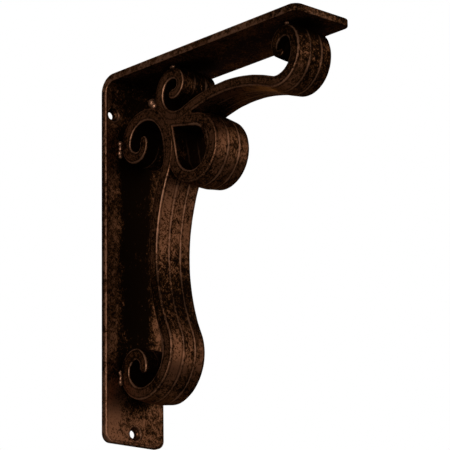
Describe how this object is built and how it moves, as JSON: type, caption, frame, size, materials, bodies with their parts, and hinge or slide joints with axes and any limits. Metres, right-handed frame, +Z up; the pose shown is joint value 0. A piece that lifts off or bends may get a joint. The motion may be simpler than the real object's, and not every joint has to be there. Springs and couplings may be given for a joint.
{
  "type": "wrought iron scroll shelf bracket",
  "caption": "Right-angled flat iron bracket for a shelf or worktop, braced by scrolls and a centre loop of bevelled bar, with a dark rubbed copper-brown finish.",
  "frame": {"origin": "middle of the wall face: half-way up and half-way across the wall leg's back", "axes": "+X across the bracket, to the right as seen from the front, +Y into the wall so that the bracket projects towards -Y, +Z up with the shelf leg on top"},
  "size_m": [0.0508, 0.1905, 0.254],
  "materials": {
    "flat_bar_iron": "dark brown patina on forged iron, rubbed back to mottled copper-brown patches and bright edges",
    "scroll_iron": "dark brown patina on forged iron, rubbed back to mottled copper-brown patches and bright arrises"
  },
  "bodies": {
    "root": {"back_bar": "flat_bar_iron", "lower_scroll": "scroll_iron", "upper_scroll": "scroll_iron", "centre_loop": "scroll_iron"}
  },
  "joints": []
}
